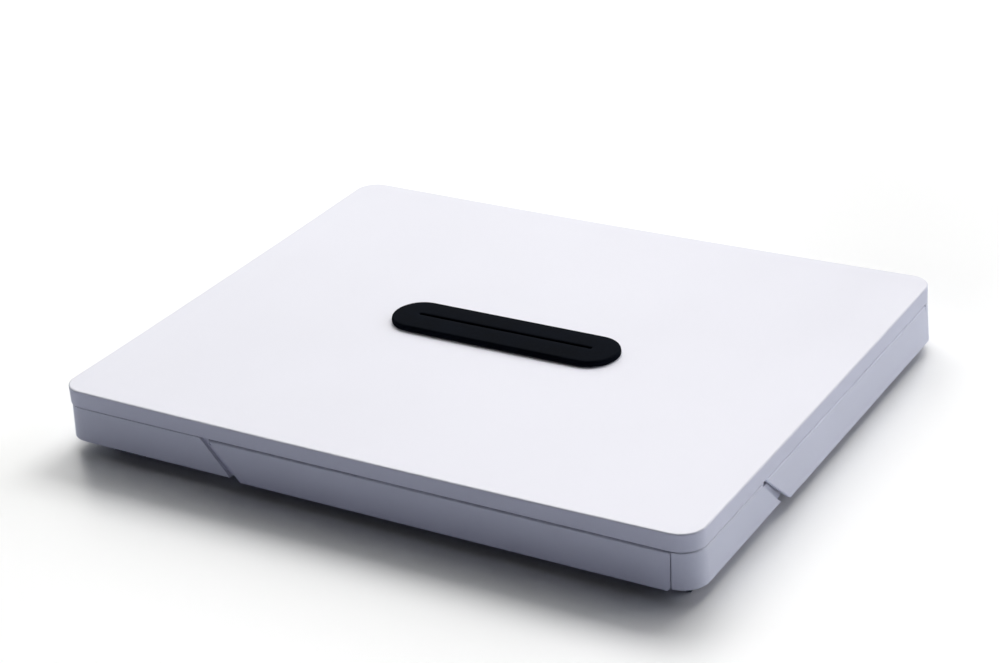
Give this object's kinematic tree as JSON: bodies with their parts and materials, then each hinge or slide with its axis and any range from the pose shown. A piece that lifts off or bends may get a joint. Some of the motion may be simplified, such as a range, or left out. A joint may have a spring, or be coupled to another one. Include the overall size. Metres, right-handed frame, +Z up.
{
  "type": "gouache paint set box",
  "caption": "Flat white case with a lift-off lid, four hinged lock flaps and a pull-up rubber handle, over a rack of gouache cups on rubber feet.",
  "frame": {"origin": "on the floor plane of the feet, below the centre of the lid", "axes": "+X to the right along the long side, +Y to the back, +Z up"},
  "size_m": [0.4133, 0.3294, 0.0419],
  "materials": {
    "white_plastic": "smooth satin white",
    "rack_plastic": "satin white",
    "cup_plastic": "thin translucent, milky",
    "steel": "drawn wire and turned posts",
    "grip_rubber": "satin, fine grain",
    "foot_rubber": "matte",
    "inner_plastic": "matte black",
    "seal_foam": "matte, soft",
    "paint_column_01": "moist gouache, satin",
    "paint_column_02": "moist gouache, satin",
    "paint_column_03": "moist gouache, satin",
    "paint_column_04": "moist gouache, satin",
    "paint_column_05": "moist gouache, satin",
    "paint_column_06": "moist gouache, satin",
    "paint_column_07": "moist gouache, satin",
    "paint_column_08": "moist gouache, satin",
    "paint_column_09": "moist gouache, satin",
    "paint_column_10": "moist gouache, satin",
    "paint_column_11": "moist gouache, satin",
    "paint_column_12": "moist gouache, satin",
    "paint_column_13": "moist gouache, satin",
    "paint_column_14": "moist gouache, satin"
  },
  "bodies": {
    "base": {"base_frame": "white_plastic", "cup_rack": "rack_plastic", "rubber_feet": "foot_rubber", "cups_column_01": "cup_plastic", "cups_column_02": "cup_plastic", "cups_column_03": "cup_plastic", "cups_column_04": "cup_plastic", "cups_column_05": "cup_plastic", "cups_column_06": "cup_plastic", "cups_column_07": "cup_plastic", "cups_column_08": "cup_plastic", "cups_column_09": "cup_plastic", "cups_column_10": "cup_plastic", "cups_column_11": "cup_plastic", "cups_column_12": "cup_plastic", "cups_column_13": "cup_plastic", "cups_column_14": "cup_plastic", "paint_column_01": "paint_column_01", "paint_column_02": "paint_column_02", "paint_column_03": "paint_column_03", "paint_column_04": "paint_column_04", "paint_column_05": "paint_column_05", "paint_column_06": "paint_column_06", "paint_column_07": "paint_column_07", "paint_column_08": "paint_column_08", "paint_column_09": "paint_column_09", "paint_column_10": "paint_column_10", "paint_column_11": "paint_column_11", "paint_column_12": "paint_column_12", "paint_column_13": "paint_column_13", "paint_column_14": "paint_column_14"},
    "lid": {"lid_shell": "white_plastic", "lid_seal": "seal_foam", "handle_bushes": "inner_plastic", "front_flap_pins": "steel", "right_flap_pins": "steel", "back_flap_pins": "steel", "left_flap_pins": "steel"},
    "handle": {"handle_grip": "grip_rubber", "handle_core": "inner_plastic", "handle_posts": "steel", "handle_screws": "steel"},
    "front_flap": {"front_lock_flap": "white_plastic"},
    "right_flap": {"right_lock_flap": "white_plastic"},
    "back_flap": {"back_lock_flap": "white_plastic"},
    "left_flap": {"left_lock_flap": "white_plastic"}
  },
  "joints": [
    {"name": "lid_lift", "type": "slide", "parent": "base", "child": "lid", "axis": [0, 0, 1], "range_m": [0, 0.15]},
    {"name": "handle_pull", "type": "slide", "parent": "lid", "child": "handle", "axis": [0, 0, 1], "range_m": [0, 0.0064]},
    {"name": "front_flap_hinge", "type": "hinge", "parent": "lid", "child": "front_flap", "pos_m": [0.047, -0.1624, 0.02685], "axis": [-1, 0, 0], "range_deg": [0, 80]},
    {"name": "right_flap_hinge", "type": "hinge", "parent": "lid", "child": "right_flap", "pos_m": [0.2034, 0.024, 0.02685], "axis": [0, -1, 0], "range_deg": [-5.3, 74.7]},
    {"name": "back_flap_hinge", "type": "hinge", "parent": "lid", "child": "back_flap", "pos_m": [-0.045, 0.1604, 0.02685], "axis": [1, 0, 0], "range_deg": [0, 80]},
    {"name": "left_flap_hinge", "type": "hinge", "parent": "lid", "child": "left_flap", "pos_m": [-0.2014, -0.026, 0.02685], "axis": [0, 1, 0], "range_deg": [0, 80]}
  ]
}
